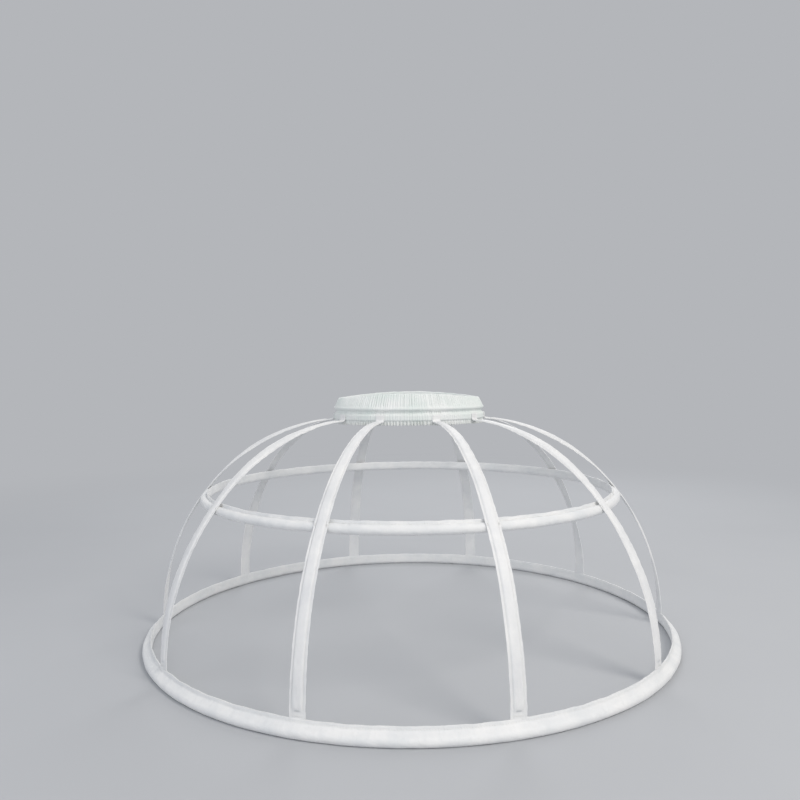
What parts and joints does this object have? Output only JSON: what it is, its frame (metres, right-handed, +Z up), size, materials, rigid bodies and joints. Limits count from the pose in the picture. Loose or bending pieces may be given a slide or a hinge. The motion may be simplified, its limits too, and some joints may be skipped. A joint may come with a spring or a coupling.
{
  "type": "crinoline cage",
  "caption": "Dome-shaped underskirt frame with a gathered elastic waistband, curved boned fabric ribs and fabric-covered hoops.",
  "frame": {"origin": "on the floor, under the middle of the cage", "axes": "+Z up through the waist opening, -Y is the wearer's front, +X is the left hand side of the wearer"},
  "size_m": [0.805, 0.805, 0.368],
  "materials": {
    "gathered_cotton": "matte",
    "frill_edging": "matte",
    "rib_tape": "matte",
    "hoop_cotton": "matte",
    "thread": "satin",
    "elastic": "matte",
    "boning": "matte",
    "hoop_tube": "satin",
    "hoop_plug": "matte"
  },
  "bodies": {
    "root": {"waistband_casing": "gathered_cotton", "waist_elastic": "elastic", "waist_frill": "frill_edging", "rib_cover_01": "rib_tape", "rib_cover_02": "rib_tape", "rib_cover_03": "rib_tape", "rib_cover_04": "rib_tape", "rib_cover_05": "rib_tape", "rib_cover_06": "rib_tape", "rib_cover_07": "rib_tape", "rib_cover_08": "rib_tape", "rib_cover_09": "rib_tape", "rib_cover_10": "rib_tape", "rib_bone_01": "boning", "rib_bone_02": "boning", "rib_bone_03": "boning", "rib_bone_04": "boning", "rib_bone_05": "boning", "rib_bone_06": "boning", "rib_bone_07": "boning", "rib_bone_08": "boning", "rib_bone_09": "boning", "rib_bone_10": "boning", "upper_hoop_cover": "hoop_cotton", "upper_hoop_core": "hoop_tube", "upper_hoop_joiner": "hoop_plug", "upper_hoop_tacks": "thread", "hem_hoop_cover": "hoop_cotton", "hem_hoop_core": "hoop_tube", "hem_hoop_joiner": "hoop_plug", "hem_hoop_tacks": "thread", "waist_tacks": "thread"}
  },
  "joints": []
}
